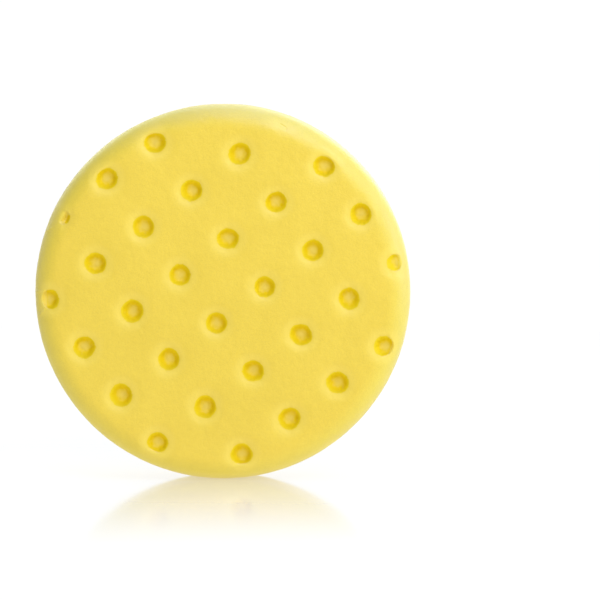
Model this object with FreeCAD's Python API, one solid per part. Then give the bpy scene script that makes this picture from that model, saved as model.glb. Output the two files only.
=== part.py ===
import FreeCAD, Part
import math
import os
from FreeCAD import Vector

# Machine polishing pad: a round foam pad with a loop-cloth back.
# Millimetres. The pad stands on its rim: its axis runs along Y, the foam working
# face looks towards -Y and the loop face towards +Y. The origin is the centre of
# the loop face, where a machine's backing plate holds the pad.

# ---- driving dimensions ----
PAD_R = 69.85            # foam outer radius, 5.5 in pad
PAD_T = 31.75            # working face to loop face, 1.25 in
LOOP_R = 63.5            # loop cloth disc radius, 5 in
PILE_H = 1.40            # height of the raised loops above the ground cloth
CLOTH_T = 0.50           # knitted ground cloth
GLUE_T = 0.25            # adhesive film between cloth and foam
FRONT_ROUND = 8.5        # round-over of the working face into the rim
BACK_ROUND = 6.0         # round-over of the back face into the rim

POCKET_PITCH = 22.3      # square grid of pressed pockets in the working face
GRID_R = 69.75           # a pocket centred further out leaves no mark on the round-over
GRID_TURN = -52.85       # degrees, from +X to the grid's first direction
GRID_X = 15.94           # the grid's own zero pocket
GRID_Z = 2.73
CRATER_R = 6.6           # shallow dished rim around each pocket, at the face
CRATER_D = 0.40          # how deep the dish is where the pocket's wall begins
MOUTH_R = 4.15           # pocket radius where its wall begins
FLOOR_R = 2.75           # pocket radius where its wall meets the flat floor
POCKET_D = 3.40          # depth of the floor below the working face
LIP_R = 0.70             # rounding between dish and wall
HEEL_R = 0.90            # rounding between wall and floor

Y_FACE = -PAD_T                        # working face
Y_CLOTH = -PILE_H                      # cloth meets pile
Y_GLUE = -(PILE_H + CLOTH_T)           # glue meets cloth
Y_FOAM = -(PILE_H + CLOTH_T + GLUE_T)  # foam meets glue

AXIS = Vector(0, 1, 0)


def revolve(edges, origin=Vector(0, 0, 0)):
    """Solid of revolution about the Y direction through origin."""
    face = Part.Face(Part.Wire(edges))
    solid = face.revolve(origin, AXIS, 360)
    if solid.Volume < 0:
        solid.reverse()
    return solid


def line(a, b):
    return Part.LineSegment(Vector(*a), Vector(*b)).toShape()


def arc(a, m, b):
    return Part.Arc(Vector(*a), Vector(*m), Vector(*b)).toShape()


def disc(radius, y_low, y_high):
    return Part.makeCylinder(radius, y_high - y_low, Vector(0, y_low, 0), AXIS)


def foam_blank():
    """Round foam slab, rounded into its rim at both faces."""
    f, b, s = FRONT_ROUND, BACK_ROUND, math.sqrt(0.5)
    p = [
        (0, Y_FOAM, 0),
        (PAD_R - b, Y_FOAM, 0),
        (PAD_R, Y_FOAM - b, 0),
        (PAD_R, Y_FACE + f, 0),
        (PAD_R - f, Y_FACE, 0),
        (0, Y_FACE, 0),
    ]
    back_mid = (PAD_R - b + b * s, Y_FOAM - b + b * s, 0)
    front_mid = (PAD_R - f + f * s, Y_FACE + f - f * s, 0)
    return revolve([
        line(p[0], p[1]),
        arc(p[1], back_mid, p[2]),
        line(p[2], p[3]),
        arc(p[3], front_mid, p[4]),
        line(p[4], p[5]),
        line(p[5], p[0]),
    ])


def corner(p, q, r, radius):
    """Tangent arc that rounds the corner q of the path p-q-r in the XY plane."""
    u = Vector(p[0] - q[0], p[1] - q[1], 0).normalize()
    v = Vector(r[0] - q[0], r[1] - q[1], 0).normalize()
    half = u.getAngle(v) / 2
    run = radius / math.tan(half)
    c = Vector(q[0], q[1], 0)
    a = c + u * run
    b = c + v * run
    bis = (u + v).normalize()
    centre = c + bis * (radius / math.sin(half))
    mid = centre - bis * radius
    return a, mid, b


def pocket_cutter(x, z):
    """Tool for one pocket: a shallow dish, a rounded lip, a tapered wall and a
    small flat floor. Depth runs from the working face towards +Y."""
    slope = CRATER_D / (CRATER_R - MOUTH_R)
    over = 0.30
    top = (CRATER_R + over / slope, Y_FACE - over)
    mouth = (MOUTH_R, Y_FACE + CRATER_D)
    heel = (FLOOR_R, Y_FACE + POCKET_D)
    lip = corner(top, mouth, heel, LIP_R)
    bend = corner(mouth, heel, (0, Y_FACE + POCKET_D), HEEL_R)
    v = lambda r, y: Vector(r, y, 0)
    edges = [
        Part.LineSegment(v(0, Y_FACE - over), v(*top)).toShape(),
        Part.LineSegment(v(*top), lip[0]).toShape(),
        Part.Arc(lip[0], lip[1], lip[2]).toShape(),
        Part.LineSegment(lip[2], bend[0]).toShape(),
        Part.Arc(bend[0], bend[1], bend[2]).toShape(),
        Part.LineSegment(bend[2], v(0, Y_FACE + POCKET_D)).toShape(),
        Part.LineSegment(v(0, Y_FACE + POCKET_D), v(0, Y_FACE - over)).toShape(),
    ]
    tool = revolve(edges)
    tool.translate(Vector(x, 0, z))
    return tool


def grid():
    """Pocket centres that touch the face or its round-over."""
    c, s = math.cos(math.radians(GRID_TURN)), math.sin(math.radians(GRID_TURN))
    out = []
    for i in range(-6, 7):
        for j in range(-6, 7):
            x = GRID_X + POCKET_PITCH * (i * c - j * s)
            z = GRID_Z + POCKET_PITCH * (i * s + j * c)
            if math.hypot(x, z) < GRID_R:
                out.append((x, z))
    return sorted(out, key=lambda p: (-round(p[1], 1), p[0]))


foam = foam_blank()
pockets = grid()
for x, z in pockets:
    foam = foam.cut(pocket_cutter(x, z))
if foam.ShapeType != "Solid":
    foam = foam.Solids[0]

parts = {
    "foam_disc": foam,
    "adhesive_film": disc(LOOP_R, Y_FOAM, Y_GLUE),
    "loop_ground_cloth": disc(LOOP_R, Y_GLUE, Y_CLOTH),
    "loop_pile": disc(LOOP_R, Y_CLOTH, 0.0),
}

os.makedirs("parts", exist_ok=True)
for name, shape in parts.items():
    ok = shape.isValid() and len(shape.Solids) == 1 and shape.Volume > 0
    box = shape.BoundBox
    print("%-18s %s  volume %.1f mm3  X %.2f..%.2f  Y %.2f..%.2f  Z %.2f..%.2f" % (
        name, "ok" if ok else "BAD", shape.Volume, box.XMin, box.XMax,
        box.YMin, box.YMax, box.ZMin, box.ZMax))
    shape.exportStep("parts/%s.step" % name)
print("pockets", len(pockets))
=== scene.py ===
import math

import bpy
import numpy as np
from mathutils import Matrix, Vector
from mathutils.geometry import delaunay_2d_cdt


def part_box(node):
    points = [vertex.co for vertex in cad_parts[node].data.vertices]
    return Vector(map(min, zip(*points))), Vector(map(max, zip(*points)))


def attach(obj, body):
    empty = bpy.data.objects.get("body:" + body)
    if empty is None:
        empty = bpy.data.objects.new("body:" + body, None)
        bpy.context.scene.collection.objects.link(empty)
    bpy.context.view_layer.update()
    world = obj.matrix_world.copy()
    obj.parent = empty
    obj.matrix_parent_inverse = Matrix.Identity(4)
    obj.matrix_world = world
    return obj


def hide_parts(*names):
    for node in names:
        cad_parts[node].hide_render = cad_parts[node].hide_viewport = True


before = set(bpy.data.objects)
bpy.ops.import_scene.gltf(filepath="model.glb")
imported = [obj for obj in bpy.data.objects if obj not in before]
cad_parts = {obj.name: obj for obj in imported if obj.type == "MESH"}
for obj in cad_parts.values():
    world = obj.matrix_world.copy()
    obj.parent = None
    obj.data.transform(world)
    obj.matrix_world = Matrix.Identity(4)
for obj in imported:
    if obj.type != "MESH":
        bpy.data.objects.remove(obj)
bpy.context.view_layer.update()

# ---------------------------------------------------------------- sizes, in mm
# The axis runs along Y: working face towards -Y, loop face towards +Y.
f_lo, f_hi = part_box("foam_disc")
l_lo, l_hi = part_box("loop_pile")
g_lo, g_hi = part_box("loop_ground_cloth")
a_lo, a_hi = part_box("adhesive_film")
PAD_R = round(f_hi.x * 1000, 2)          # 69.85
Y_FACE = f_lo.y * 1000                   # -31.75
Y_FOAM = f_hi.y * 1000                   # -2.15
Y_GLUE = a_hi.y * 1000                   # -1.90
Y_CLOTH = g_hi.y * 1000                  # -1.40
LOOP_R = l_hi.x * 1000                   # 63.5
FRONT_ROUND, BACK_ROUND = 8.5, 6.0
PITCH, TURN, GRID_X, GRID_Z = 22.3, math.radians(-52.85), 15.94, 2.73
FLAT_R = PAD_R - FRONT_ROUND
S_ARC = FLAT_R + FRONT_ROUND * math.pi / 2       # developed radius where the wall begins

rng = np.random.default_rng(20261117)


# ---------------------------------------------------------------- helpers
def hash01(ix, iy, iz, seed):
    n = (ix * 374761393 + iy * 668265263 + iz * 1440662683 + seed * 974634777) & 0xFFFFFFFF
    n = ((n ^ (n >> 13)) * 1274126177) & 0xFFFFFFFF
    n = (n ^ (n >> 16)) & 0xFFFFFFFF
    return n / 4294967295.0


def noise3(p, scale, seed=0):
    """Smooth value noise, -1 to 1, with features about scale across."""
    q = np.asarray(p, float) / scale
    i = np.floor(q).astype(np.int64)
    f = q - i
    f = f * f * f * (f * (f * 6 - 15) + 10)
    out = 0.0
    for dx in (0, 1):
        for dy in (0, 1):
            for dz in (0, 1):
                w = ((f[:, 0] if dx else 1 - f[:, 0]) * (f[:, 1] if dy else 1 - f[:, 1])
                     * (f[:, 2] if dz else 1 - f[:, 2]))
                out = out + w * hash01(i[:, 0] + dx, i[:, 1] + dy, i[:, 2] + dz, seed)
    return out * 2 - 1


def smooth(a, b, x):
    t = np.clip((x - a) / (b - a), 0, 1)
    return t * t * (3 - 2 * t)


def mesh_object(name, verts_mm, faces, smooth_shade=True):
    me = bpy.data.meshes.new(name)
    me.from_pydata((np.asarray(verts_mm, float) / 1000.0).tolist(), [],
                   [list(map(int, f)) for f in faces])
    me.validate()
    me.update()
    if smooth_shade:
        me.polygons.foreach_set("use_smooth", [True] * len(me.polygons))
    ob = bpy.data.objects.new(name, me)
    bpy.context.scene.collection.objects.link(ob)
    return ob


def point_attribute(ob, name, values):
    at = ob.data.attributes.new(name, "FLOAT", "POINT")
    at.data.foreach_set("value", np.asarray(values, np.float32))


def triangulate(points, limit=None):
    """Delaunay triangles of plane points that all lie in a convex outline."""
    v, _, f, orig, _, _ = delaunay_2d_cdt([Vector((float(a), float(b))) for a, b in points],
                                          [], [], 0, 1e-6)
    index = np.array([o[0] for o in orig])
    return [tuple(index[list(t)]) for t in f]


def hex_points(radius, step, jitter=0.0, seed=1):
    r = np.random.default_rng(seed)
    rows = int(radius / (step * math.sqrt(3) / 2)) + 2
    pts = []
    for k in range(-rows, rows + 1):
        z = k * step * math.sqrt(3) / 2
        n = int(radius / step) + 2
        x = (np.arange(-n, n + 1) + (0.5 if k % 2 else 0.0)) * step
        pts.append(np.stack([x, np.full_like(x, z)], 1))
    p = np.concatenate(pts)
    p = p + r.uniform(-jitter, jitter, p.shape) * step
    return p[np.hypot(p[:, 0], p[:, 1]) < radius]


def ring(radius, count, phase=0.0):
    a = (np.arange(count) + phase) * 2 * math.pi / count
    return np.stack([radius * np.cos(a), radius * np.sin(a)], 1)


# ---------------------------------------------------------------- the pockets
def pocket_centres():
    c, s = math.cos(TURN), math.sin(TURN)
    out = []
    for i in range(-6, 7):
        for j in range(-6, 7):
            x = GRID_X + PITCH * (i * c - j * s)
            z = GRID_Z + PITCH * (i * s + j * c)
            if math.hypot(x, z) < 69.75:
                out.append((x, z))
    out = np.array(sorted(out, key=lambda p: (-round(p[1], 1), p[0])))
    # the foam gave way a little under the pocket pressed over the upper left edge
    far = np.hypot(out[:, 0] + 60.0, out[:, 1] - 29.1) < 2
    out[far] += (1.2, -0.6)
    return out


# radius from the pocket's axis, and depth below the face
PROFILE = np.array([
    (0.00, 3.22), (0.80, 3.25), (1.30, 3.25), (1.70, 3.19), (2.00, 3.06), (2.25, 2.84),
    (2.50, 2.50), (2.75, 2.08), (3.00, 1.64), (3.25, 1.26), (3.50, 0.98), (3.80, 0.77),
    (4.15, 0.66), (4.60, 0.52), (5.20, 0.36), (5.90, 0.22), (6.70, 0.11), (7.50, 0.04),
    (8.30, 0.0), (12.0, 0.0)])
CRATER = np.array([(0.0, 0.84), (3.5, 0.82), (3.80, 0.76), (4.15, 0.66), (4.60, 0.52), (5.20, 0.36),
                   (5.90, 0.22), (6.70, 0.11), (7.50, 0.04), (8.30, 0.0), (12.0, 0.0)])


def curve(table, r):
    """Cubic Hermite through the table, with slopes that don't overshoot."""
    x, y = table[:, 0], table[:, 1]
    h = np.diff(x)
    d = np.diff(y) / h
    m = np.zeros_like(y)
    good = d[:-1] * d[1:] > 0
    m[1:-1][good] = 2 * d[:-1][good] * d[1:][good] / (d[:-1][good] + d[1:][good])
    r = np.clip(r, x[0], x[-1] - 1e-9)
    k = np.clip(np.searchsorted(x, r, side="right") - 1, 0, len(x) - 2)
    t = (r - x[k]) / h[k]
    return ((2 * t**3 - 3 * t**2 + 1) * y[k] + (t**3 - 2 * t**2 + t) * h[k] * m[k]
            + (-2 * t**3 + 3 * t**2) * y[k + 1] + (t**3 - t**2) * h[k] * m[k + 1])


POCKETS = pocket_centres()
n_p = len(POCKETS)
P_SIZE = 1.055 + rng.uniform(-0.035, 0.035, n_p)      # mouth width
P_SIZE[np.hypot(POCKETS[:, 0] + 58.6, POCKETS[:, 1] - 28.3) < 3] = 0.80
P_DEEP = 1 + rng.uniform(-0.07, 0.05, n_p)        # depth
P_OVAL = rng.uniform(0.0, 0.035, n_p)             # out of round
P_TURN = rng.uniform(0, math.pi, n_p)
P_LEAN = rng.normal(0, 0.13, (n_p, 2))            # the floor's drift from the mouth's centre


def profile_point(s):
    """Radius, Y and outward normal of the blank foam at developed radius s."""
    s = np.asarray(s, float)
    th = np.clip((s - FLAT_R) / FRONT_ROUND, 0, math.pi / 2)
    r = np.where(s < FLAT_R, s, FLAT_R + FRONT_ROUND * np.sin(th))
    y = Y_FACE + FRONT_ROUND * (1 - np.cos(th))
    return r, y, np.sin(th), -np.cos(th)


# Pale creases where a pocket was pressed over the round-over: ends in developed X and Z, height, width.
RIDGES = [(-64.9, 1.3, -73.6, 0.1, 0.26, 0.34), (-65.2, -5.6, -70.2, -9.4, 0.20, 0.40),
          (-63.0, 24.6, -68.4, 23.2, 0.16, 0.36), (21.6, 63.3, 24.2, 61.7, -0.20, 0.30), (24.2, 61.7, 23.8, 60.3, -0.15, 0.28)]


# Where, along the line outward from its centre, a pocket near the rim runs out; by the centre's radius.
EDGE_RC, EDGE_FROM, EDGE_TO = ([60.0, 62.5, 64.0, 66.1, 66.7, 69.7], [2.8, 2.4, 0.6, -0.4, -0.6, -3.2],
                               [6.5, 5.6, 5.0, 3.5, 3.0, 0.2])


# ---------------------------------------------------------------- foam
def build_foam():
    pts = []
    # rings of points around each pocket, closest where the wall is steep
    radii = [(0.0, 1), (0.45, 10), (0.9, 16), (1.3, 24), (1.65, 30), (1.95, 36), (2.2, 40),
             (2.42, 44), (2.62, 48), (2.80, 48), (2.98, 52), (3.16, 52), (3.34, 56), (3.52, 56),
             (3.70, 56), (3.90, 56), (4.12, 52), (4.38, 52), (4.70, 48), (5.10, 44), (5.60, 40),
             (6.20, 38), (6.90, 36), (7.70, 36)]
    owner = []
    for k, (cx, cz) in enumerate(POCKETS):
        cr = math.hypot(cx, cz)
        ca = math.atan2(cz, cx)
        # the pocket's centre in the developed disc
        if cr > FLAT_R:
            sr = FLAT_R + FRONT_ROUND * math.asin(min(1.0, (cr - FLAT_R) / FRONT_ROUND))
        else:
            sr = cr
        for m, (q, n) in enumerate(radii):
            loop = ring(q, n, 0.5 * (m % 2)) if n > 1 else np.zeros((1, 2))
            if cr + q > FLAT_R - 0.2:
                # near the rim the ring is laid out in true X, Z and then developed
                w = loop + (cx, cz)
                rr = np.hypot(w[:, 0], w[:, 1])
                keep = rr < PAD_R - 0.35
                w, rr = w[keep], rr[keep]
                ss = np.where(rr < FLAT_R, rr, FLAT_R + FRONT_ROUND
                              * np.arcsin(np.clip((rr - FLAT_R) / FRONT_ROUND, 0, 1)))
                w = w * (ss / np.maximum(rr, 1e-9))[:, None]
                pts.append(w[ss < S_ARC - 0.7])
            else:
                pts.append(loop + (cx, cz))
    for ax, az, bx, bz, _, _ in RIDGES:
        n = int(math.hypot(bx - ax, bz - az) / 0.22) + 2
        t = np.linspace(-0.02, 1.02, n)[:, None]
        line = np.array([[ax, az]]) + t * np.array([[bx - ax, bz - az]])
        nrm2 = np.array([[-(bz - az), bx - ax]]) / math.hypot(bx - ax, bz - az)
        for off in (-0.8, -0.5, -0.26, 0.0, 0.26, 0.5, 0.8):
            pts.append(line + nrm2 * off)
    n_ring = 384
    inner = np.concatenate(pts)
    grid = hex_points(S_ARC - 0.75, 1.12, 0.06, 5)
    # the even grid stays out of the pockets' own rings
    gr = np.hypot(grid[:, 0], grid[:, 1])
    true_r = np.where(gr < FLAT_R, gr, FLAT_R + FRONT_ROUND
                      * np.sin(np.clip((gr - FLAT_R) / FRONT_ROUND, 0, math.pi / 2)))
    tx = grid * (true_r / np.maximum(gr, 1e-9))[:, None]
    near = np.min(np.hypot(tx[:, None, 0] - POCKETS[None, :, 0],
                           tx[:, None, 1] - POCKETS[None, :, 1]), axis=1)
    grid = grid[near > 8.15]
    edge = ring(S_ARC, n_ring)
    flat = np.concatenate([edge, inner, grid])
    tris = triangulate(flat)
    s = np.hypot(flat[:, 0], flat[:, 1])
    s[:n_ring] = S_ARC
    ang = np.arctan2(flat[:, 1], flat[:, 0])
    r, y, nr, ny = profile_point(s)
    x, z = r * np.cos(ang), r * np.sin(ang)
    depth0 = y - Y_FACE
    depth = depth0.copy()
    pocket_mask = np.zeros(len(flat))
    # mask for the painted highlight on each pocket's floor
    floor_highlight_mask = np.zeros(len(flat))
    # mask for the painted highlight round each pocket's lip
    lip_highlight_mask = np.zeros(len(flat))
    for k, (cx, cz) in enumerate(POCKETS):
        dx, dz = x - cx, z - cz
        sel = np.hypot(dx, dz) < 9.0
        if not sel.any():
            continue
        dx, dz = dx[sel], dz[sel]
        c, sn = math.cos(P_TURN[k]), math.sin(P_TURN[k])
        u, v = dx * c + dz * sn, -dx * sn + dz * c
        u, v = u * (1 + P_OVAL[k]), v * (1 - P_OVAL[k])
        rho0 = np.hypot(u, v) / P_SIZE[k]
        # deeper points lean towards the floor's own centre
        lean = smooth(4.2, 1.5, rho0)
        u2, v2 = u - lean * P_LEAN[k, 0], v - lean * P_LEAN[k, 1]
        rho = np.hypot(u2, v2) / P_SIZE[k]
        q3 = np.stack([x[sel], np.full(sel.sum(), 40.0 + k), z[sel]], 1)
        rho = rho * (1 + (0.040 * noise3(q3, 2.4, 11) + 0.029 * noise3(q3, 0.9, 12)) * smooth(0.3, 2.0, rho0))
        d = curve(PROFILE, rho) * np.where(rho < 8.3, P_DEEP[k], 1.0)
        # the pressed floor is creased, not flat
        d = d + 0.16 * noise3(q3, 1.1, 13) * smooth(2.6, 1.4, rho)
        cr = curve(CRATER, rho)
        base = depth0[sel]
        on_edge = smooth(0.0, 0.6, base)
        soft = 0.28 * on_edge
        a, b = base + cr * (1 - 0.45 * on_edge), d
        h = np.clip(0.5 + 0.5 * (b - a) / np.maximum(soft * 2, 1e-6), 0, 1)
        blend = a * (1 - h) + b * h + soft * 2 * h * (1 - h) * 0.5
        new = np.where(base > 1e-4, np.maximum(blend, base), np.maximum(d, base))
        rc = math.hypot(cx, cz)
        open_side = np.ones(sel.sum())
        # strength of the painted highlight round this pocket's lip
        lip_highlight_gain = 1.0
        if rc > 60.0:
            # pressed over the round-over: the floor runs out into the rim instead of ending in a wall
            out_u = ((x[sel] - cx) * cx + (z[sel] - cz) * cz) / rc
            a0 = np.interp(rc, EDGE_RC, EDGE_FROM)
            a1 = np.interp(rc, EDGE_RC, EDGE_TO)
            if cx < -55.0 and cz > 20.0:
                # the upper left one only caught the foam with its inner side
                # this pocket's painted lip highlight is weaker
                a0, a1, lip_highlight_gain = -2.6, 1.2, 0.3
            new = base + (new - base) * (1 - smooth(a0, a1, out_u))
            b0 = min(a0, np.interp(rc, [63.8, 64.3], [3.0, -0.3]))
            open_side = 1 - smooth(b0 - 0.2, b0 + 2.0, out_u)
        depth[sel] = np.maximum(depth[sel], new)
        cut = new - base
        inside = smooth(0.25, 1.30, cut) * open_side
        pocket_mask[sel] = np.maximum(pocket_mask[sel], inside)
        ragged = rho * (1 + 0.20 * noise3(q3, 1.0, 21) + 0.10 * noise3(q3, 0.5, 22))
        # the floor mask carries a painted highlight on each pocket's floor
        floor_highlight_mask[sel] = np.maximum(floor_highlight_mask[sel], smooth(2.6, 0.3, ragged) ** 0.8
                                     * smooth(0.8, 1.8, cut) * open_side)
        # the halo mask carries a painted highlight round each pocket's lip
        lip_highlight_mask[sel] = np.maximum(lip_highlight_mask[sel], lip_highlight_gain * smooth(7.6, 4.4, rho) * (1 - inside)
                                    * (1 - smooth(1.2, 4.2, base)))
    y = Y_FACE + depth
    ridge = np.zeros(len(flat))
    for ax, az, bx, bz, high, wide in RIDGES:
        d = np.array([bx - ax, bz - az])
        t = ((flat[:, 0] - ax) * d[0] + (flat[:, 1] - az) * d[1]) / (d @ d)
        off = np.hypot(flat[:, 0] - ax - t * d[0], flat[:, 1] - az - t * d[1])
        ridge += high * np.exp(-(off / wide) ** 2) * smooth(-0.02, 0.15, t) * smooth(1.02, 0.75, t)
    x, y, z = (x + ridge * nr * np.cos(ang), y + ridge * ny, z + ridge * nr * np.sin(ang))
    front = np.stack([x, y, z], 1)

    # wall, back round-over and the back face under the cloth, as rings
    rows = []
    for t in np.linspace(0, 1, 14)[1:]:
        rows.append((PAD_R, Y_FACE + FRONT_ROUND + (Y_FOAM - BACK_ROUND - Y_FACE - FRONT_ROUND) * t,
                     1.0, 0.0))
    for t in np.linspace(0, math.pi / 2, 11)[1:]:
        rows.append((PAD_R - BACK_ROUND + BACK_ROUND * math.cos(t),
                     Y_FOAM - BACK_ROUND + BACK_ROUND * math.sin(t), math.cos(t), math.sin(t)))
    for q in (63.0, 61.5, 59.0, 54.0, 46.0, 36.0, 25.0, 14.0, 6.0):
        rows.append((q, Y_FOAM, 0.0, 1.0))
    a = np.arange(n_ring) * 2 * math.pi / n_ring
    verts, faces = [front], [tuple(t) for t in tris]
    nrm = [np.stack([nr * np.cos(ang), ny, nr * np.sin(ang)], 1)]
    start = len(front)
    prev = np.arange(n_ring)
    for q, yy, rn, yn in rows:
        verts.append(np.stack([q * np.cos(a), np.full(n_ring, yy), q * np.sin(a)], 1))
        nrm.append(np.stack([rn * np.cos(a), np.full(n_ring, yn), rn * np.sin(a)], 1))
        cur = start + np.arange(n_ring)
        nxt = np.roll(np.arange(n_ring), -1)
        faces += [(int(prev[i]), int(prev[nxt[i]]), int(cur[nxt[i]]), int(cur[i])) for i in range(n_ring)]
        prev = cur
        start += n_ring
    verts.append(np.array([[0.0, Y_FOAM, 0.0]]))
    nrm.append(np.array([[0.0, 1.0, 0.0]]))
    faces += [(int(prev[i]), int(prev[(i + 1) % n_ring]), start) for i in range(n_ring)]
    v = np.concatenate(verts)
    n = np.concatenate(nrm)
    pad = len(v) - len(flat)
    pocket_mask = np.concatenate([pocket_mask, np.zeros(pad)])
    floor_highlight_mask = np.concatenate([floor_highlight_mask, np.zeros(pad)])
    lip_highlight_mask = np.concatenate([lip_highlight_mask, np.zeros(pad)])
    # a cut foam surface is never quite flat: long soft waves, and a fine open-cell tooth
    wave = (0.075 * noise3(v, 17.0, 3) + 0.045 * noise3(v, 7.0, 4))
    tooth = 0.042 * noise3(v, 2.1, 6) + 0.024 * noise3(v, 1.15, 8)
    amp = 1 - 0.6 * pocket_mask
    under = (v[:, 1] > Y_FOAM - 0.02) & (np.hypot(v[:, 0], v[:, 2]) < LOOP_R + 0.6)
    move = np.where(under, 0.0, (wave + tooth) * amp - 0.085)
    v = v + n * move[:, None]
    ob = mesh_object("foam_pad", v, faces)
    point_attribute(ob, "pocket", pocket_mask)
    # this attribute carries the painted highlight on the pocket floors
    point_attribute(ob, "pocket_floor_highlight", floor_highlight_mask)
    # this attribute carries the painted highlight round the pocket lips
    point_attribute(ob, "lip_highlight", lip_highlight_mask)
    # this attribute carries the painted rim light and sheen on the round-over
    point_attribute(ob, "rim_sheen", smooth(60.5, 68.5, np.hypot(v[:, 0], v[:, 2])))
    return ob


def fix_normals(ob):
    import bmesh
    bm = bmesh.new()
    bm.from_mesh(ob.data)
    bmesh.ops.recalc_face_normals(bm, faces=bm.faces)
    bm.to_mesh(ob.data)
    bm.free()


foam = build_foam()
fix_normals(foam)
# the faces inside the pockets take the second material
mask = np.empty(len(foam.data.vertices), np.float32)
foam.data.attributes["pocket"].data.foreach_get("value", mask)
slots = [1 if mask[list(p.vertices)].mean() > 0.45 else 0 for p in foam.data.polygons]


# ---------------------------------------------------------------- adhesive film
def lathe(name, rows, count, edge_noise, seed):
    """Closed disc from rings of (radius, y); rings near the loop cloth's edge are roughened in radius."""
    a = np.arange(count) * 2 * math.pi / count
    verts, faces = [], []
    for q, yy in rows:
        p = np.stack([np.cos(a) * 60, np.full(count, yy * 3), np.sin(a) * 60], 1)
        jag = sum(w * noise3(p, sc, seed + i) for i, (w, sc) in enumerate(edge_noise))
        rr = q + jag * smooth(LOOP_R - 4, LOOP_R - 0.8, q)
        verts.append(np.stack([rr * np.cos(a), np.full(count, yy), rr * np.sin(a)], 1))
    for k in range(len(rows) - 1):
        for i in range(count):
            j = (i + 1) % count
            faces.append((k * count + i, k * count + j, (k + 1) * count + j, (k + 1) * count + i))
    c0, c1 = len(rows) * count, len(rows) * count + 1
    verts.append(np.array([[0, rows[0][1], 0], [0, rows[-1][1], 0]], float))
    for i in range(count):
        j = (i + 1) % count
        faces.append((c0, j, i))
        faces.append((c1, (len(rows) - 1) * count + i, (len(rows) - 1) * count + j))
    ob = mesh_object(name, np.concatenate(verts), faces)
    fix_normals(ob)
    return ob


y0, y1 = Y_FOAM + 0.004, Y_GLUE - 0.004
glue = lathe("adhesive_layer",
             [(30.0, y0), (58.0, y0), (LOOP_R - 0.25, y0), (LOOP_R - 0.02, y0 + 0.04),
              (LOOP_R + 0.05, (y0 + y1) / 2), (LOOP_R - 0.04, y1 - 0.04), (LOOP_R - 0.3, y1),
              (58.0, y1), (30.0, y1)],
             720, [(0.22, 9.0), (0.14, 2.6), (0.07, 0.9)], 31)

# ---------------------------------------------------------------- knitted ground cloth
y0, y1 = Y_GLUE + 0.004, Y_CLOTH
cloth = lathe("loop_cloth",
              [(30.0, y0), (58.0, y0), (LOOP_R - 0.40, y0), (LOOP_R - 0.16, y0 + 0.08),
               (LOOP_R - 0.10, (y0 + y1) / 2), (LOOP_R - 0.16, y1 - 0.08), (LOOP_R - 0.42, y1),
               (58.0, y1), (30.0, y1)],
              1080, [(0.16, 6.0), (0.10, 1.7), (0.09, 0.62)], 51)

# ---------------------------------------------------------------- raised loops
# Brushing has laid the loops over along one slanting direction. The cut edge frays most at the top
# and the bottom, where the knit's rows end, and least at the sides.
LAY = np.array([-0.67, 0.742])
ROWS = np.array([0.174, 0.985])


def fray(ang):
    """How far the fringe reaches past the cut edge at each angle, in mm."""
    d = np.abs(np.cos(ang) * ROWS[0] + np.sin(ang) * ROWS[1])
    return 0.24 + 0.80 * d**3.2


def build_pile():
    step = 0.56
    count = 760
    grid = hex_points(LOOP_R - 0.75, step, 0.16, 17)
    edge = ring(LOOP_R - 0.28, count)
    flat = np.concatenate([edge, grid])
    tris = triangulate(flat)
    p = np.stack([flat[:, 0], np.zeros(len(flat)), flat[:, 1]], 1)
    along = flat @ LAY
    across = flat @ np.array([LAY[1], -LAY[0]])
    brushed = np.stack([across / 0.8, np.zeros(len(flat)), along / 1.5], 1)
    h = (0.52 + 0.13 * noise3(brushed, 0.8, 71) + 0.22 * noise3(p, 1.15, 72)
         + 0.08 * noise3(p, 3.4, 73) + 0.06 * noise3(p, 11.0, 74))
    r = np.hypot(flat[:, 0], flat[:, 1])
    roll = smooth(LOOP_R + 0.15, LOOP_R - 1.9, r)
    top = Y_CLOTH + 0.10 + 0.95 * np.clip(h, 0.1, 1.05) * (0.30 + 0.70 * roll)
    ang = np.arctan2(flat[:, 1], flat[:, 0])
    out = 1 + (0.24 * noise3(np.stack([np.cos(ang) * 63, np.zeros(len(ang)), np.sin(ang) * 63], 1), 1.0, 75)
               * smooth(LOOP_R - 1.2, LOOP_R - 0.3, r)) / LOOP_R
    v = np.stack([flat[:, 0] * out, top, flat[:, 1] * out], 1)
    low = v[:count].copy()
    low[:, 1] = Y_CLOTH + 0.01
    base = len(v)
    faces = [tuple(t) for t in tris]
    faces += [(i, (i + 1) % count, base + (i + 1) % count, base + i) for i in range(count)]
    c = base + count
    faces += [(c, base + i, base + (i + 1) % count) for i in range(count)]
    v = np.concatenate([v, low, [[0, Y_CLOTH + 0.01, 0]]])
    ob = mesh_object("loop_pile_bed", v, faces)
    fix_normals(ob)
    return ob


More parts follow.
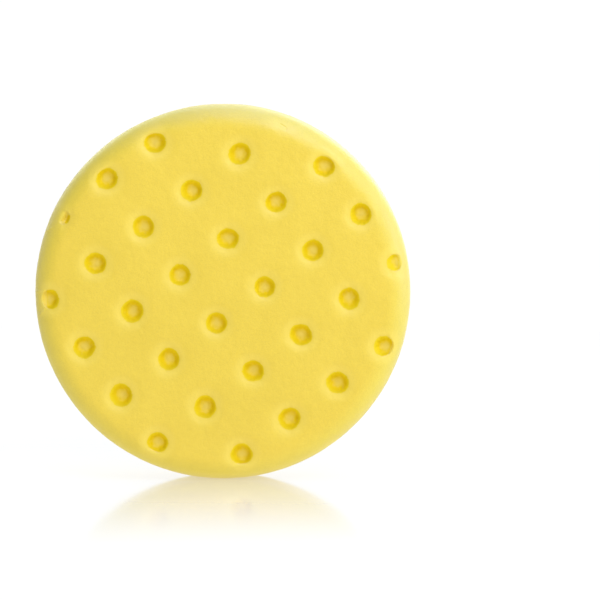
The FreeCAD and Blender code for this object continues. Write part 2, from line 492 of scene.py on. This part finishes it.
def tubes(name, paths, radii, sides=3):
    """Closed tapered fibres: paths is (N, S, 3), radii (N, S)."""
    paths = np.asarray(paths, float)
    n, s, _ = paths.shape
    t = np.gradient(paths, axis=1)
    t /= np.linalg.norm(t, axis=2, keepdims=True) + 1e-9
    ref = np.zeros_like(t)
    ref[..., 1] = 1.0
    flatish = np.abs(t[..., 1]) > 0.92
    ref[flatish] = (1.0, 0.0, 0.0)
    u = np.cross(t, ref)
    u /= np.linalg.norm(u, axis=2, keepdims=True) + 1e-9
    w = np.cross(t, u)
    a = np.arange(sides) * 2 * math.pi / sides
    v = (paths[:, :, None, :] + radii[:, :, None, None]
         * (np.cos(a)[None, None, :, None] * u[:, :, None, :]
            + np.sin(a)[None, None, :, None] * w[:, :, None, :]))
    v = v.reshape(-1, 3)
    base = np.arange(n)[:, None, None] * (s * sides)
    seg = np.arange(s - 1)[None, :, None] * sides
    k = np.arange(sides)[None, None, :]
    k2 = (k + 1) % sides
    quad = np.stack([base + seg + k, base + seg + k2, base + seg + sides + k2,
                     base + seg + sides + k], -1).reshape(-1, 4)
    b = np.arange(n)[:, None] * (s * sides)
    cap0 = b + np.arange(sides)[::-1][None, :]
    cap1 = b + (s - 1) * sides + np.arange(sides)[None, :]
    faces = quad.tolist() + cap0.tolist() + cap1.tolist()
    return mesh_object(name, v, faces)


def build_fringe():
    r = np.random.default_rng(4711)
    n = 4600
    # most fibres lie in tufts, tight bundles that share an angle, a reach and a lean
    n_t = 1150
    t_ang = r.uniform(0, 2 * math.pi, n_t)
    t_reach = r.gamma(3.0, 0.30, n_t)
    t_turn = r.normal(0, 0.30, n_t)
    t_y = r.uniform(Y_CLOTH + 0.05, Y_CLOTH + 0.75, n_t)
    pick = r.integers(0, n_t, n)
    loose = r.random(n) < 0.22
    ang = np.where(loose, r.uniform(0, 2 * math.pi, n), t_ang[pick] + r.normal(0, 0.0016, n))
    reach = np.where(loose, r.gamma(2.4, 0.34, n), t_reach[pick] * r.uniform(0.85, 1.1, n))
    reach = fray(ang) * np.clip(reach, 0.15, 1.9)
    out = np.stack([np.cos(ang), np.sin(ang)], 1)
    side = np.sign(np.einsum("ij,j->i", out, LAY))
    lay = side[:, None] * LAY[None, :]
    d = out * 0.62 + lay * 0.72
    turn = np.where(loose, r.normal(0, 0.50, n), t_turn[pick] + r.normal(0, 0.07, n))
    c, s = np.cos(turn), np.sin(turn)
    d = np.stack([d[:, 0] * c - d[:, 1] * s, d[:, 0] * s + d[:, 1] * c], 1)
    d /= np.linalg.norm(d, axis=1, keepdims=True)
    # a fibre that leans has to be longer to reach as far past the edge
    gain = 1 / np.clip(np.einsum("ij,ij->i", d, out), 0.55, 1.0)
    steps = 6
    t = np.linspace(0, 1, steps)
    y_start = np.where(loose, r.uniform(Y_CLOTH + 0.02, Y_CLOTH + 0.80, n), t_y[pick] + r.normal(0, 0.05, n))
    rise = r.uniform(-0.80, 0.35, n) * (0.35 + 0.4 * reach)
    curl = np.where(loose, r.normal(0, 0.28, n), r.normal(0, 0.10, n))
    root = out * (LOOP_R - 0.55 - r.uniform(0, 0.4, n))[:, None]
    length = (reach + 0.75) * gain
    perp = np.stack([-d[:, 1], d[:, 0]], 1)
    px = (root[:, None, :] + d[:, None, :] * (length[:, None] * t[None, :])[..., None]
          + perp[:, None, :] * (curl[:, None] * length[:, None] * (t**2)[None, :])[..., None])
    yy = y_start[:, None] + rise[:, None] * (t**1.6)[None, :] + 0.04 * np.sin(
        t[None, :] * r.uniform(3, 8, n)[:, None] + r.uniform(0, 6, n)[:, None])
    # a fibre never dips into the foam's back or its round-over
    rr = np.hypot(px[..., 0], px[..., 1])
    drop = np.clip(rr - (PAD_R - BACK_ROUND), 0, BACK_ROUND)
    ground = Y_FOAM - BACK_ROUND + np.sqrt(np.maximum(BACK_ROUND**2 - drop**2, 0)) + 0.16
    yy = np.maximum(yy, np.where(rr > LOOP_R - 0.1, ground, Y_CLOTH + 0.05))
    path = np.stack([px[..., 0], yy, px[..., 1]], 2)
    base = np.where(loose, r.uniform(0.045, 0.070, n), r.uniform(0.075, 0.130, n))
    radii = base[:, None] * (1 - 0.75 * t[None, :] ** 1.8)
    return tubes("loop_pile_fringe", path, radii)


def build_loops():
    """Loose loops that stand off the brushed face."""
    r = np.random.default_rng(815)
    n = 6800
    q = LOOP_R * np.sqrt(r.random(n)) * 0.996
    a = r.uniform(0, 2 * math.pi, n)
    x, z = q * np.cos(a), q * np.sin(a)
    base_dir = math.atan2(LAY[1], LAY[0])
    th = base_dir + r.normal(0, 0.95, n)
    span = r.uniform(0.6, 1.6, n)
    high = r.uniform(0.14, 0.50, n)
    t = np.linspace(0, 1, 5)
    bow = r.normal(0, 0.30, n)
    dx, dz = np.cos(th), np.sin(th)
    px = x[:, None] + dx[:, None] * span[:, None] * (t - 0.5)[None, :] - dz[:, None] * (
        bow * span)[:, None] * np.sin(math.pi * t)[None, :]
    pz = z[:, None] + dz[:, None] * span[:, None] * (t - 0.5)[None, :] + dx[:, None] * (
        bow * span)[:, None] * np.sin(math.pi * t)[None, :]
    lo = Y_CLOTH + 0.42
    yy = lo + (0.14 + high[:, None]) * np.sin(math.pi * (0.08 + 0.84 * t))[None, :]
    rr = np.hypot(px, pz)
    yy = yy - 0.35 * smooth(LOOP_R - 1.6, LOOP_R + 0.4, rr)
    yy = np.minimum(yy, -0.10)
    path = np.stack([px, yy, pz], 2)
    radii = (r.uniform(0.035, 0.062, n)[:, None] * np.ones((1, 5)))
    return tubes("loop_pile_loops", path, radii)


pile = build_pile()
fringe = build_fringe()
loops = build_loops()


# ---------------------------------------------------------------- materials
FOAM_A, FOAM_B, FOAM_C = (0.825, 0.590, 0.010), (0.875, 0.630, 0.018), (0.79, 0.545, 0.006)
# pocket walls: the fused skin's deeper yellow plus painted shade; pocket floors: a painted highlight
WALL_SKIN_AND_PAINTED_SHADE, FLOOR_PAINTED_HIGHLIGHT = (0.815, 0.594, 0.005), (0.84, 0.655, 0.130)
# pocket lips: a painted highlight; round the rim: painted rim light and sheen
LIP_PAINTED_HIGHLIGHT, RIM_PAINTED_SHEEN = (0.91, 0.690, 0.064), (0.935, 1.02, 1.3)


def new_material(name):
    m = bpy.data.materials.new(name)
    m.use_nodes = True
    nt = m.node_tree
    nt.nodes.clear()
    out = nt.nodes.new("ShaderNodeOutputMaterial")
    b = nt.nodes.new("ShaderNodeBsdfPrincipled")
    nt.links.new(b.outputs["BSDF"], out.inputs["Surface"])
    return m, nt, b


def node(nt, kind, **values):
    n = nt.nodes.new(kind)
    for k, v in values.items():
        if hasattr(n, k):
            setattr(n, k, v)
        else:
            n.inputs[k].default_value = v
    return n


def link(nt, a, b):
    nt.links.new(a, b)


def math_node(nt, op, a, b=None, clamp=False):
    n = nt.nodes.new("ShaderNodeMath")
    n.operation = op
    n.use_clamp = clamp
    for k, v in enumerate((a, b)):
        if v is None:
            continue
        if isinstance(v, (int, float)):
            n.inputs[k].default_value = v
        else:
            nt.links.new(v, n.inputs[k])
    return n.outputs[0]


def mix_colour(nt, factor, a, b, mode="MIX"):
    n = nt.nodes.new("ShaderNodeMix")
    n.data_type = "RGBA"
    n.blend_type = mode
    if isinstance(factor, (int, float)):
        n.inputs[0].default_value = factor
    else:
        nt.links.new(factor, n.inputs[0])
    for k, v in ((6, a), (7, b)):
        if isinstance(v, tuple):
            n.inputs[k].default_value = (*v, 1.0)
        else:
            nt.links.new(v, n.inputs[k])
    return n.outputs[2]


def noise_tex(nt, coord, scale, detail=2.0, rough=0.5):
    n = nt.nodes.new("ShaderNodeTexNoise")
    n.inputs["Scale"].default_value = scale
    n.inputs["Detail"].default_value = detail
    n.inputs["Roughness"].default_value = rough
    nt.links.new(coord, n.inputs["Vector"])
    return n


def ramp(nt, fac, stops):
    n = nt.nodes.new("ShaderNodeValToRGB")
    el = n.color_ramp.elements
    while len(el) < len(stops):
        el.new(0.5)
    for e, (p, c) in zip(el, stops):
        e.position = p
        e.color = (*c, 1.0) if len(c) == 3 else c
    nt.links.new(fac, n.inputs["Fac"])
    return n.outputs["Color"]


def foam_material(name, skin):
    """skin is the fused foam inside the pressed pockets; the deeper yellow of their walls is partly that
    skin's tone and partly painted shade.
    """
    m, nt, b = new_material(name)
    tc = nt.nodes.new("ShaderNodeTexCoord")
    co = tc.outputs["Object"]
    # colour: warm lemon yellow with slow mottling and a fine cell grain
    slow = noise_tex(nt, co, 55.0, 3.0, 0.55).outputs["Fac"]
    mid = noise_tex(nt, co, 420.0, 2.0, 0.6).outputs["Fac"]
    cell = nt.nodes.new("ShaderNodeTexVoronoi")
    cell.feature = "F1"
    cell.inputs["Scale"].default_value = 2300.0
    cell.inputs["Randomness"].default_value = 1.0
    nt.links.new(co, cell.inputs["Vector"])
    pore = math_node(nt, "SMOOTH_MIN", cell.outputs["Distance"], 0.62)
    pore.node.inputs[2].default_value = 0.2
    fine = noise_tex(nt, co, 1500.0, 3.0, 0.6).outputs["Fac"]
    body = ramp(nt, slow, [(0.30, FOAM_A), (0.70, FOAM_B)])
    body = mix_colour(nt, math_node(nt, "MULTIPLY", mid, 0.42), body, FOAM_C)
    grain = ramp(nt, pore, [(0.10, (0.80, 0.78, 0.66)), (0.55, (1.0, 1.0, 1.0))])
    body = mix_colour(nt, 0.45, body, grain, "MULTIPLY")
    # pockets: the cells are fused to a denser skin; the walls' deeper yellow is partly that skin's tone and
    # partly painted shade, and the smooth floor carries a paler painted highlight
    at = nt.nodes.new("ShaderNodeAttribute")
    at.attribute_name = "pocket"
    floor_highlight_attr = nt.nodes.new("ShaderNodeAttribute")
    floor_highlight_attr.attribute_name = "pocket_floor_highlight"
    lip_highlight_attr = nt.nodes.new("ShaderNodeAttribute")
    lip_highlight_attr.attribute_name = "lip_highlight"
    # round the rim the colour is painted cooler, greener and paler: painted rim light and sheen
    rim_sheen_attr = nt.nodes.new("ShaderNodeAttribute")
    rim_sheen_attr.attribute_name = "rim_sheen"
    body = mix_colour(nt, rim_sheen_attr.outputs["Fac"], body, RIM_PAINTED_SHEEN, "MULTIPLY")
    # a painted highlight on the stretched lip around each pocket, where the crater's slope would catch the
    # light
    body = mix_colour(nt, math_node(nt, "MULTIPLY", lip_highlight_attr.outputs["Fac"], 0.45), body, LIP_PAINTED_HIGHLIGHT)
    # painted shade on the pocket walls, on top of the fused skin's deeper yellow
    wall_skin_and_shade = math_node(nt, "MULTIPLY", at.outputs["Fac"], 0.95)
    colour = mix_colour(nt, wall_skin_and_shade, body, WALL_SKIN_AND_PAINTED_SHADE)
    # a painted highlight on the pocket floors
    colour = mix_colour(nt, math_node(nt, "MULTIPLY", floor_highlight_attr.outputs["Fac"], 0.9), colour, FLOOR_PAINTED_HIGHLIGHT)
    link(nt, colour, b.inputs["Base Color"])
    # roughness
    rough = math_node(nt, "ADD", math_node(nt, "MULTIPLY", fine, 0.14), 0.50)
    link(nt, rough, b.inputs["Roughness"])
    b.inputs["IOR"].default_value = 1.50
    b.inputs["Specular IOR Level"].default_value = 0.12 if skin else 0.95
    b.inputs["Sheen Weight"].default_value = 0.0 if skin else 0.24
    b.inputs["Sheen Roughness"].default_value = 0.60
    b.inputs["Sheen Tint"].default_value = (1.0, 0.99, 0.95, 1.0)
    # bump: open cells about a third of a millimetre across, and softer unevenness
    height = math_node(nt, "ADD", math_node(nt, "MULTIPLY", pore, 0.55),
                       math_node(nt, "MULTIPLY", fine, 0.45))
    calm = math_node(nt, "SUBTRACT", 1.0, math_node(nt, "MULTIPLY", at.outputs["Fac"], 0.7))
    height = math_node(nt, "MULTIPLY", height, calm)
    bump = nt.nodes.new("ShaderNodeBump")
    bump.inputs["Strength"].default_value = 0.42
    bump.inputs["Distance"].default_value = 0.00016
    link(nt, height, bump.inputs["Height"])
    bump2 = nt.nodes.new("ShaderNodeBump")
    bump2.inputs["Strength"].default_value = 0.62
    bump2.inputs["Distance"].default_value = 0.00022
    link(nt, mid, bump2.inputs["Height"])
    link(nt, bump.outputs["Normal"], bump2.inputs["Normal"])
    link(nt, bump2.outputs["Normal"], b.inputs["Normal"])
    return m


def glue_material():
    m, nt, b = new_material("clear_amber_adhesive")
    tc = nt.nodes.new("ShaderNodeTexCoord")
    co = tc.outputs["Object"]
    n = noise_tex(nt, co, 600.0, 3.0, 0.6).outputs["Fac"]
    c = ramp(nt, n, [(0.35, (0.50, 0.34, 0.06)), (0.65, (0.66, 0.47, 0.12))])
    link(nt, c, b.inputs["Base Color"])
    r = math_node(nt, "ADD", math_node(nt, "MULTIPLY", n, 0.25), 0.22)
    link(nt, r, b.inputs["Roughness"])
    bump = nt.nodes.new("ShaderNodeBump")
    bump.inputs["Strength"].default_value = 0.3
    bump.inputs["Distance"].default_value = 0.0001
    link(nt, n, bump.inputs["Height"])
    link(nt, bump.outputs["Normal"], b.inputs["Normal"])
    return m


def black_material(name, low, high, sheen, scale, stretch, strength, rough):
    m, nt, b = new_material(name)
    tc = nt.nodes.new("ShaderNodeTexCoord")
    mp = nt.nodes.new("ShaderNodeMapping")
    mp.inputs["Rotation"].default_value = (0, math.atan2(-LAY[0], LAY[1]), 0)
    link(nt, tc.outputs["Object"], mp.inputs["Vector"])
    mp2 = nt.nodes.new("ShaderNodeMapping")
    mp2.inputs["Scale"].default_value = (1.0, 1.0, stretch)
    link(nt, mp.outputs["Vector"], mp2.inputs["Vector"])
    co = mp2.outputs["Vector"]
    streak = noise_tex(nt, co, scale, 3.0, 0.65).outputs["Fac"]
    speck = noise_tex(nt, tc.outputs["Object"], scale * 2.1, 2.0, 0.7).outputs["Fac"]
    patch = noise_tex(nt, tc.outputs["Object"], 70.0, 2.0, 0.5).outputs["Fac"]
    c = ramp(nt, streak, [(0.32, low), (0.70, high)])
    c = mix_colour(nt, math_node(nt, "MULTIPLY", patch, 0.35), c, low)
    light = ramp(nt, speck, [(0.60, (0.0, 0.0, 0.0)), (0.80, (1.0, 1.0, 1.0))])
    c = mix_colour(nt, math_node(nt, "MULTIPLY", light, 0.8), c,
                   tuple(min(1.0, 2.1 * x) for x in high))
    link(nt, c, b.inputs["Base Color"])
    r = math_node(nt, "ADD", math_node(nt, "MULTIPLY", speck, 0.2), rough)
    link(nt, r, b.inputs["Roughness"])
    b.inputs["Specular IOR Level"].default_value = 0.16
    b.inputs["Specular Tint"].default_value = (1.0, 0.92, 0.76, 1.0)
    b.inputs["Sheen Weight"].default_value = sheen
    b.inputs["Sheen Roughness"].default_value = 0.55
    b.inputs["Sheen Tint"].default_value = (0.60, 0.52, 0.42, 1.0)
    h = math_node(nt, "ADD", streak, math_node(nt, "MULTIPLY", speck, 0.6))
    bump = nt.nodes.new("ShaderNodeBump")
    bump.inputs["Strength"].default_value = strength
    bump.inputs["Distance"].default_value = 0.0003
    link(nt, h, bump.inputs["Height"])
    link(nt, bump.outputs["Normal"], b.inputs["Normal"])
    return m


def knit_material():
    """Warp knit: rows of small ribs crossed by finer courses."""
    m, nt, b = new_material("black_warp_knit")
    tc = nt.nodes.new("ShaderNodeTexCoord")
    mp = nt.nodes.new("ShaderNodeMapping")
    mp.inputs["Rotation"].default_value = (0, math.atan2(-LAY[0], LAY[1]), 0)
    link(nt, tc.outputs["Object"], mp.inputs["Vector"])
    w1 = nt.nodes.new("ShaderNodeTexWave")
    w1.bands_direction = "X"
    w1.inputs["Scale"].default_value = 190.0
    w1.inputs["Distortion"].default_value = 1.2
    w1.inputs["Detail"].default_value = 1.5
    link(nt, mp.outputs["Vector"], w1.inputs["Vector"])
    w2 = nt.nodes.new("ShaderNodeTexWave")
    w2.bands_direction = "Z"
    w2.inputs["Scale"].default_value = 260.0
    w2.inputs["Distortion"].default_value = 2.0
    w2.inputs["Detail"].default_value = 1.5
    link(nt, mp.outputs["Vector"], w2.inputs["Vector"])
    h = math_node(nt, "ADD", w1.outputs["Fac"], math_node(nt, "MULTIPLY", w2.outputs["Fac"], 0.6))
    c = ramp(nt, math_node(nt, "MULTIPLY", h, 0.625),
             [(0.2, (0.006, 0.0055, 0.005)), (0.8, (0.019, 0.0175, 0.016))])
    link(nt, c, b.inputs["Base Color"])
    r = math_node(nt, "ADD", math_node(nt, "MULTIPLY", w2.outputs["Fac"], 0.15), 0.62)
    link(nt, r, b.inputs["Roughness"])
    b.inputs["Sheen Weight"].default_value = 0.25
    bump = nt.nodes.new("ShaderNodeBump")
    bump.inputs["Strength"].default_value = 0.7
    bump.inputs["Distance"].default_value = 0.00015
    link(nt, h, bump.inputs["Height"])
    link(nt, bump.outputs["Normal"], b.inputs["Normal"])
    return m


foam.data.materials.append(foam_material("yellow_open_cell_foam", False))
foam.data.materials.append(foam_material("yellow_pressed_foam_skin", True))
foam.data.polygons.foreach_set("material_index", slots)
glue.data.materials.append(glue_material())
cloth.data.materials.append(knit_material())
pile.data.materials.append(black_material("black_brushed_loop_bed", (0.0012, 0.0010, 0.0007),
                                          (0.0090, 0.0074, 0.0051), 0.03, 1250.0, 0.75, 0.9, 0.75))
fibre = black_material("black_nylon_fibre", (0.0016, 0.0013, 0.0009), (0.0118, 0.0097, 0.0067),
                       0.03, 1500.0, 0.8, 0.25, 0.55)
fringe.data.materials.append(fibre)
loops.data.materials.append(fibre)

# ---------------------------------------------------------------- floor, lights, camera
FLOOR_Z = -PAD_R / 1000.0


def build_stage():
    n = 48
    size = 4.0
    verts = [(-size + 2 * size * i / n, -size + 2 * size * j / n, FLOOR_Z)
             for j in range(n + 1) for i in range(n + 1)]
    faces = [(j * (n + 1) + i, j * (n + 1) + i + 1, (j + 1) * (n + 1) + i + 1, (j + 1) * (n + 1) + i)
             for j in range(n) for i in range(n)]
    me = bpy.data.meshes.new("floor")
    me.from_pydata(verts, [], faces)
    ob = bpy.data.objects.new("floor", me)
    bpy.context.scene.collection.objects.link(ob)
    m = bpy.data.materials.new("gloss_white_table")
    m.use_nodes = True
    nt = m.node_tree
    nt.nodes.clear()
    out = nt.nodes.new("ShaderNodeOutputMaterial")
    tc = nt.nodes.new("ShaderNodeTexCoord")
    sep = nt.nodes.new("ShaderNodeSeparateXYZ")
    link(nt, tc.outputs["Object"], sep.inputs[0])
    # a lit white table: part of its white is its own glow, all of it far from the pad
    flat = nt.nodes.new("ShaderNodeBsdfDiffuse")
    flat.inputs["Color"].default_value = (0.27, 0.255, 0.165, 1)
    glow = nt.nodes.new("ShaderNodeEmission")
    glow.inputs["Color"].default_value = (1, 1, 1, 1)
    # painted contact shadow: the table's glow is turned down right under the rim, where little light reaches
    shade = nt.nodes.new("ShaderNodeVectorMath")
    shade.operation = "MULTIPLY_ADD"
    shade.inputs[1].default_value = (0.62, 1.0, 0.0)
    shade.inputs[2].default_value = (0.0, 0.016, 0.0)
    link(nt, tc.outputs["Object"], shade.inputs[0])
    under = nt.nodes.new("ShaderNodeVectorMath")
    under.operation = "LENGTH"
    link(nt, shade.outputs[0], under.inputs[0])
    lift = nt.nodes.new("ShaderNodeMapRange")
    lift.interpolation_type = "SMOOTHSTEP"
    lift.inputs["From Min"].default_value = 0.010
    lift.inputs["From Max"].default_value = 0.045
    lift.inputs["To Min"].default_value = 0.71
    lift.inputs["To Max"].default_value = 0.78
    link(nt, under.outputs["Value"], lift.inputs["Value"])
    link(nt, lift.outputs[0], glow.inputs["Strength"])
    near = nt.nodes.new("ShaderNodeAddShader")
    link(nt, flat.outputs[0], near.inputs[0])
    link(nt, glow.outputs[0], near.inputs[1])
    far = nt.nodes.new("ShaderNodeEmission")
    far.inputs["Color"].default_value = (1, 1, 1, 1)
    far.inputs["Strength"].default_value = 1.02
    out_by = nt.nodes.new("ShaderNodeVectorMath")
    out_by.operation = "LENGTH"
    link(nt, tc.outputs["Object"], out_by.inputs[0])
    how_far = nt.nodes.new("ShaderNodeMapRange")
    how_far.interpolation_type = "SMOOTHSTEP"
    how_far.inputs["From Min"].default_value = 0.25
    how_far.inputs["From Max"].default_value = 0.60
    link(nt, out_by.outputs["Value"], how_far.inputs["Value"])
    white = nt.nodes.new("ShaderNodeMixShader")
    link(nt, how_far.outputs[0], white.inputs[0])
    link(nt, near.outputs[0], white.inputs[1])
    link(nt, far.outputs[0], white.inputs[2])
    gloss = nt.nodes.new("ShaderNodeBsdfGlossy")
    gloss.inputs["Roughness"].default_value = 0.10
    gloss.inputs["Color"].default_value = (1, 1, 1, 1)
    # the mirror image is strongest where the pad stands and fades out across the table
    dist = math_node(nt, "MAXIMUM",
                     math_node(nt, "ABSOLUTE", math_node(nt, "ADD", sep.outputs["Y"], 0.016)),
                     math_node(nt, "SUBTRACT", math_node(nt, "ABSOLUTE", sep.outputs["X"]), 0.06))
    fade = nt.nodes.new("ShaderNodeMapRange")
    fade.interpolation_type = "SMOOTHSTEP"
    fade.inputs["From Min"].default_value = 0.0
    fade.inputs["From Max"].default_value = 0.190
    fade.inputs["To Min"].default_value = 1.0
    fade.inputs["To Max"].default_value = 0.0
    link(nt, dist, fade.inputs["Value"])
    fr = nt.nodes.new("ShaderNodeFresnel")
    fr.inputs["IOR"].default_value = 1.55
    f = math_node(nt, "MULTIPLY", fr.outputs[0], fade.outputs[0])
    f = math_node(nt, "MULTIPLY", f, 1.32, True)
    mx = nt.nodes.new("ShaderNodeMixShader")
    link(nt, f, mx.inputs[0])
    link(nt, white.outputs[0], mx.inputs[1])
    link(nt, gloss.outputs[0], mx.inputs[2])
    link(nt, mx.outputs[0], out.inputs["Surface"])
    me.materials.append(m)
    return ob


floor = build_stage()


def soft_light(name, side, height, power, colour=(1.0, 1.0, 1.0), size=0.8, reach=1.5):
    """Round soft light: side is degrees to the right of the viewer, height degrees above the table."""
    a, e = math.radians(side), math.radians(height)
    where = Vector((math.sin(a) * math.cos(e), -math.cos(a) * math.cos(e), math.sin(e))) * reach
    d = bpy.data.lights.new(name, "AREA")
    d.shape = "DISK"
    d.energy, d.size, d.color = power, size, colour
    o = bpy.data.objects.new(name, d)
    bpy.context.scene.collection.objects.link(o)
    o.location = where
    o.rotation_mode = "QUATERNION"
    o.rotation_quaternion = (Vector((0, -0.016, 0)) - where).to_track_quat("-Z", "Y")
    return o


soft_light("front", 10, 15, 4.0, (1.000, 0.875, 0.275))
soft_light("front_high", 32, 45, 5.9, (0.644, 0.705, 1.000), 0.5, 0.95)
soft_light("side", 82, 15, 5.5, (0.320, 0.405, 1.000), 0.5, 0.95)
soft_light("side_high", 110, 60, 2.8, (0.857, 0.857, 1.000))
soft_light("rear_right", 150, 25, 8.8, (1.000, 0.932, 0.955))
soft_light("rear_top", 180, 60, 7.6, (0.342, 0.500, 1.000))
soft_light("rear_left", 215, 30, 5.8, (0.930, 1.000, 0.850))
soft_light("top", 0, 75, 10.0, (0.060, 0.100, 1.000))

world = bpy.data.worlds.new("studio")
bpy.context.scene.world = world
world.use_nodes = True
nt = world.node_tree
nt.nodes.clear()
w_out = nt.nodes.new("ShaderNodeOutputWorld")
seen = nt.nodes.new("ShaderNodeBackground")
seen.inputs["Color"].default_value = (1, 1, 1, 1)
seen.inputs["Strength"].default_value = 1.03
fill = nt.nodes.new("ShaderNodeBackground")
fill.inputs["Color"].default_value = (0.82, 1.0, 0.88, 1)
fill.inputs["Strength"].default_value = 0.20
lp = nt.nodes.new("ShaderNodeLightPath")
mx = nt.nodes.new("ShaderNodeMixShader")
link(nt, math_node(nt, "MAXIMUM", lp.outputs["Is Camera Ray"], lp.outputs["Is Glossy Ray"]), mx.inputs[0])
link(nt, fill.outputs[0], mx.inputs[1])
link(nt, seen.outputs[0], mx.inputs[2])
link(nt, mx.outputs[0], w_out.inputs["Surface"])

bpy.context.scene.view_settings.view_transform = "Standard"
bpy.context.scene.view_settings.look = "None"

cam_data = bpy.data.cameras.new("camera")
cam = bpy.data.objects.new("camera", cam_data)
bpy.context.scene.collection.objects.link(cam)
bpy.context.scene.camera = cam
cam_data.sensor_width = 36.0
cam_data.lens = 174.0
cam_data.clip_start, cam_data.clip_end = 0.05, 50.0
down, turn = math.radians(4.95), math.radians(-1.53)
fwd = Vector((math.sin(turn) * math.cos(down), math.cos(turn) * math.cos(down), -math.sin(down)))
right = Vector((math.cos(turn), -math.sin(turn), 0.0))
up = right.cross(fwd)
aim = Vector((0, Y_FACE / 2000.0, 0))
cam.location = aim + right * 0.0286 - up * 0.00348 - fwd * 1.0862
cam.rotation_mode = "QUATERNION"
cam.rotation_quaternion = Matrix((right, up, -fwd)).transposed().to_quaternion()

# ---------------------------------------------------------------- pieces and bodies
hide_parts("foam_disc")
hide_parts("adhesive_film")
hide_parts("loop_ground_cloth")
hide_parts("loop_pile")
for piece, slot in ((foam, "yellow_foam"), (glue, "clear_adhesive"), (cloth, "black_knit_cloth"),
                    (pile, "black_loop_pile"), (fringe, "black_loop_pile"), (loops, "black_loop_pile")):
    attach(piece, "root")
